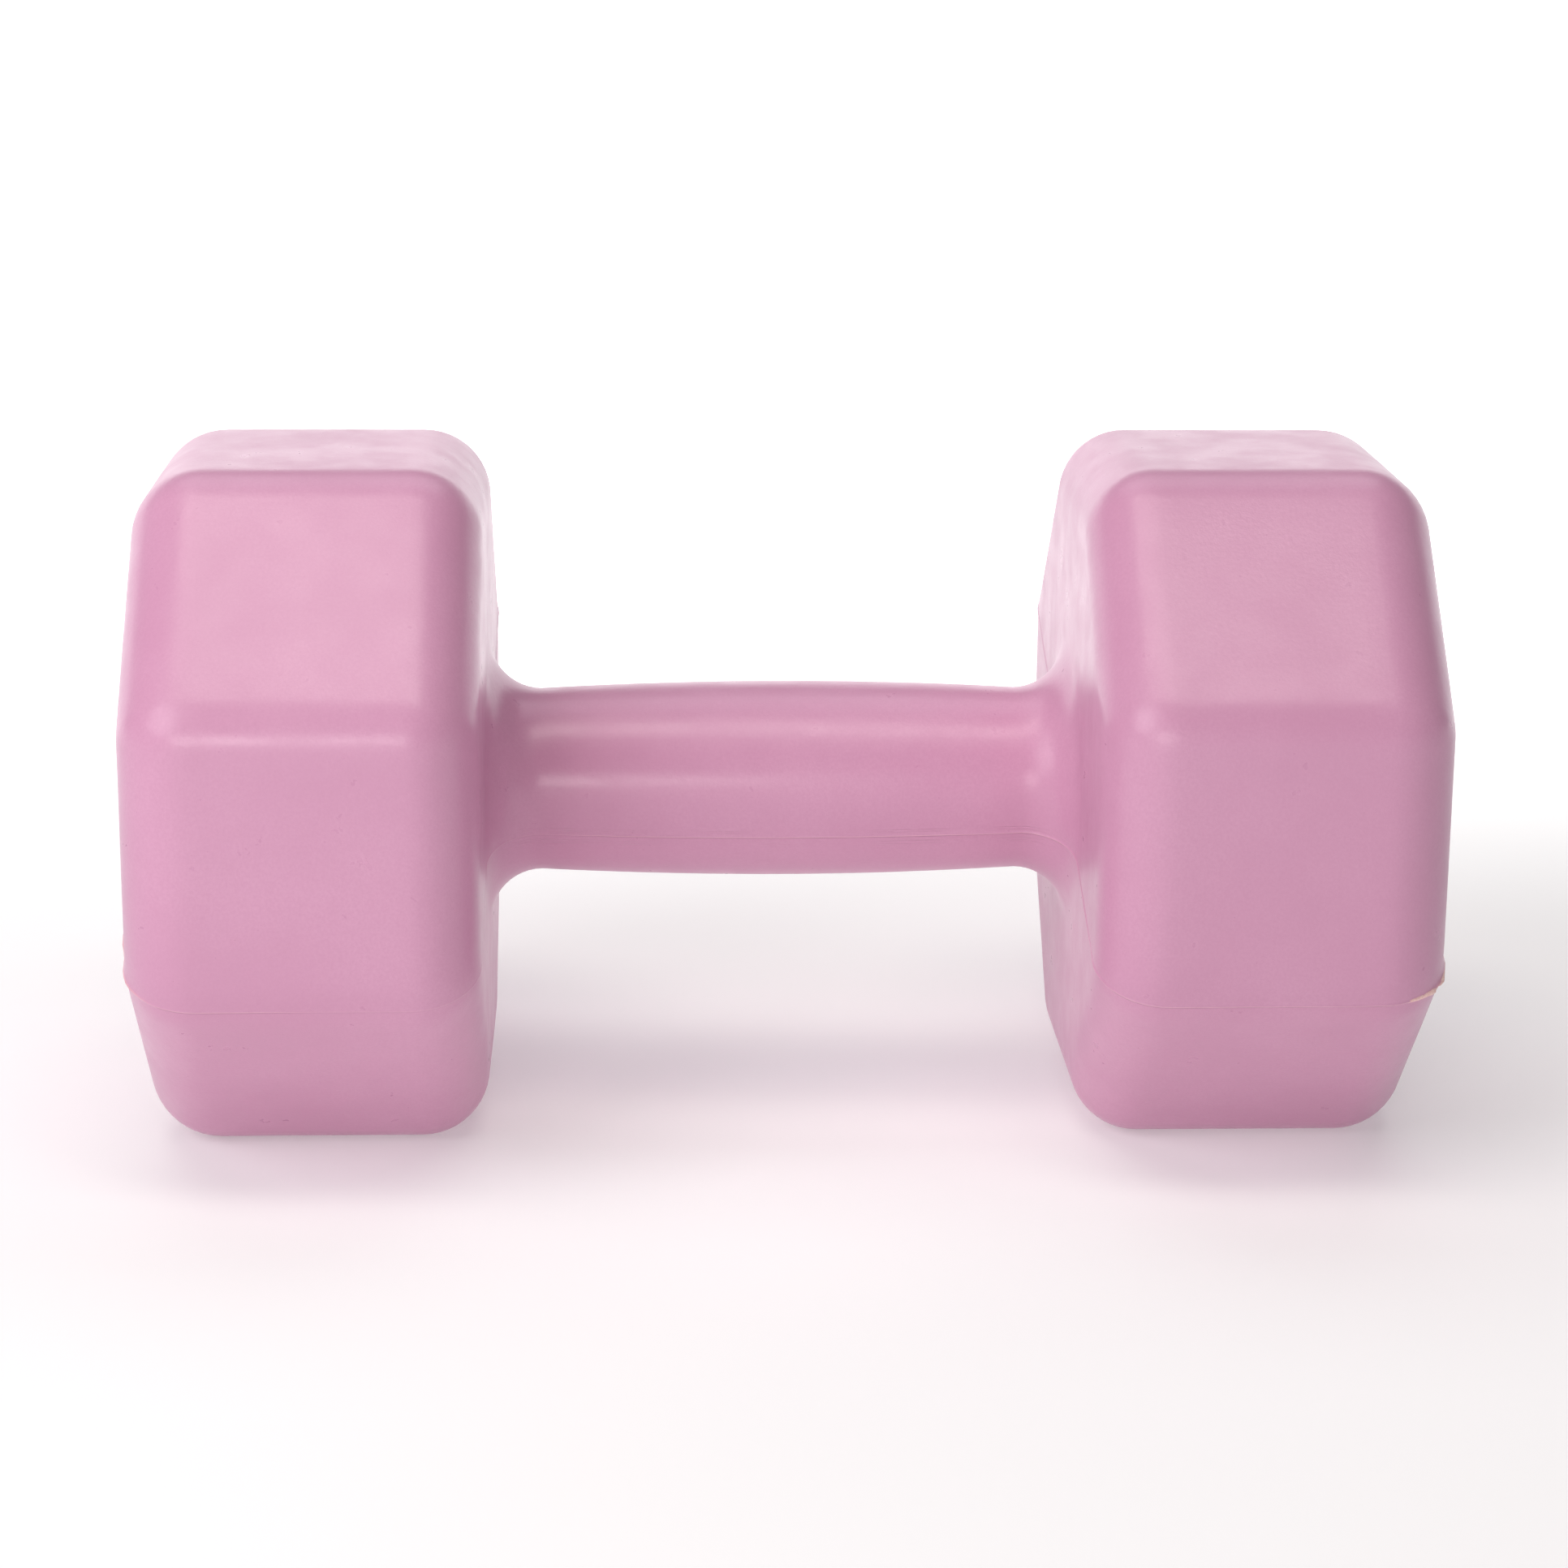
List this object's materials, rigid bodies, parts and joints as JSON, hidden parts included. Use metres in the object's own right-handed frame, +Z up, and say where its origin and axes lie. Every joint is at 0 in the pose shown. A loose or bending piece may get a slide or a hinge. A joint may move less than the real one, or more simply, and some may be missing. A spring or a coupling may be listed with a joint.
{
  "type": "dumbbell",
  "caption": "Fixed-weight hand dumbbell: two octagonal heads with rounded edges joined by a barrel-shaped grip, a plastic shell over a mortar core",
  "frame": {"origin": "middle of the grip, which is the centre of the bounding box", "axes": "+X along the grip, away from the filling plug; +Z up when the dumbbell rests on a flat of each head; -Y is the side the picture looks at"},
  "size_m": [0.23, 0.1202, 0.1202],
  "materials": {
    "shell_plastic": "satin, fine grained moulded skin",
    "mortar": "rough cast mortar with iron sand",
    "tube_steel": "plain drawn steel tube",
    "plug_plastic": "satin injection moulded"
  },
  "bodies": {
    "root": {"shell": "shell_plastic", "mortar_fill": "mortar", "reinforcing_tube": "tube_steel", "filler_plug": "plug_plastic"}
  },
  "joints": []
}
